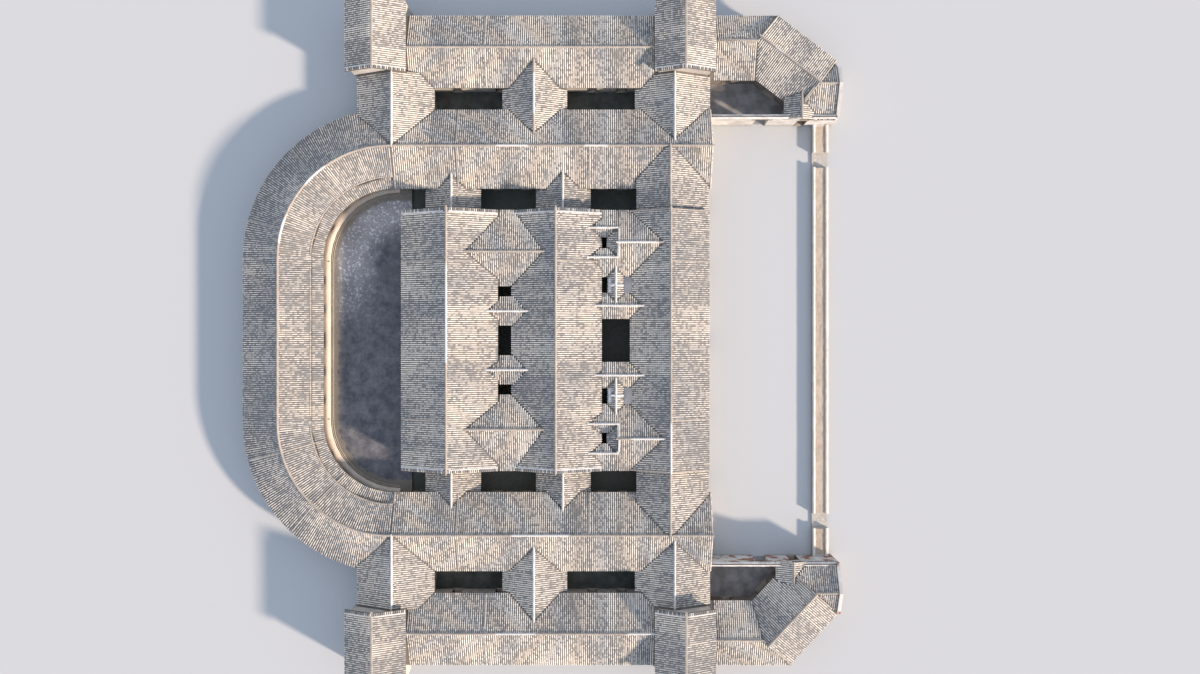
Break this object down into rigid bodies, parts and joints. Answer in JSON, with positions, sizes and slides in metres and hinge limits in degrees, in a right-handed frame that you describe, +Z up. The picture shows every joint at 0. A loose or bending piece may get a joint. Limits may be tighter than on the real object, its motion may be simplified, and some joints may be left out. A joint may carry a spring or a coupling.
{
  "type": "hakka walled house, 1:10 scale model",
  "caption": "Walled house at 1:10: horseshoe of rooms round a crescent yard, three halls on the axis, side rows with courts, corner towers and two bent gate ranges at an open forecourt.",
  "frame": {"origin": "centre of the footprint, on the ground under the house", "axes": "+Z up; the gate front and forecourt face -Y; +X is to the right as seen from the front"},
  "size_m": [8.24, 7.21, 0.73],
  "materials": {
    "roof_tile": "matt grey clay tile, weathered",
    "lime_wall": "lime-washed rammed earth and brick, stained",
    "paving_stone": "worn paving"
  },
  "bodies": {
    "root": {"horseshoe_back_roof": "roof_tile", "horseshoe_right_roof": "roof_tile", "inner_row_right_roof": "roof_tile", "outer_row_right_roof": "roof_tile", "rear_tower_right_roof": "roof_tile", "front_tower_right_roof": "roof_tile", "horseshoe_left_roof": "roof_tile", "inner_row_left_roof": "roof_tile", "outer_row_left_roof": "roof_tile", "rear_tower_left_roof": "roof_tile", "front_tower_left_roof": "roof_tile", "rear_hall_roof": "roof_tile", "middle_hall_roof": "roof_tile", "front_hall_roof": "roof_tile", "rear_wing_right_roof": "roof_tile", "front_wing_right_roof": "roof_tile", "outer_link_right_roof": "roof_tile", "rear_link_right_roof": "roof_tile", "middle_link_right_roof": "roof_tile", "front_hall_right_roof": "roof_tile", "rear_cross_right_roof": "roof_tile", "front_cross_right_roof": "roof_tile", "rear_wing_left_roof": "roof_tile", "front_wing_left_roof": "roof_tile", "outer_link_left_roof": "roof_tile", "rear_link_left_roof": "roof_tile", "middle_link_left_roof": "roof_tile", "front_hall_left_roof": "roof_tile", "rear_cross_left_roof": "roof_tile", "front_cross_left_roof": "roof_tile", "gate_range_right_roof": "roof_tile", "gate_range_left_roof": "roof_tile", "horseshoe_back_walls": "lime_wall", "horseshoe_right_walls": "lime_wall", "horseshoe_left_walls": "lime_wall", "inner_row_right_walls": "lime_wall", "inner_row_left_walls": "lime_wall", "outer_row_right_walls": "lime_wall", "outer_row_left_walls": "lime_wall", "rear_tower_right_walls": "lime_wall", "front_tower_right_walls": "lime_wall", "rear_tower_left_walls": "lime_wall", "front_tower_left_walls": "lime_wall", "rear_hall_walls": "lime_wall", "middle_hall_walls": "lime_wall", "front_hall_walls": "lime_wall", "gate_range_right_walls": "lime_wall", "gate_range_left_walls": "lime_wall", "pond_side_wall": "lime_wall", "house_floor": "paving_stone", "crescent_yard": "paving_stone"}
  },
  "joints": []
}
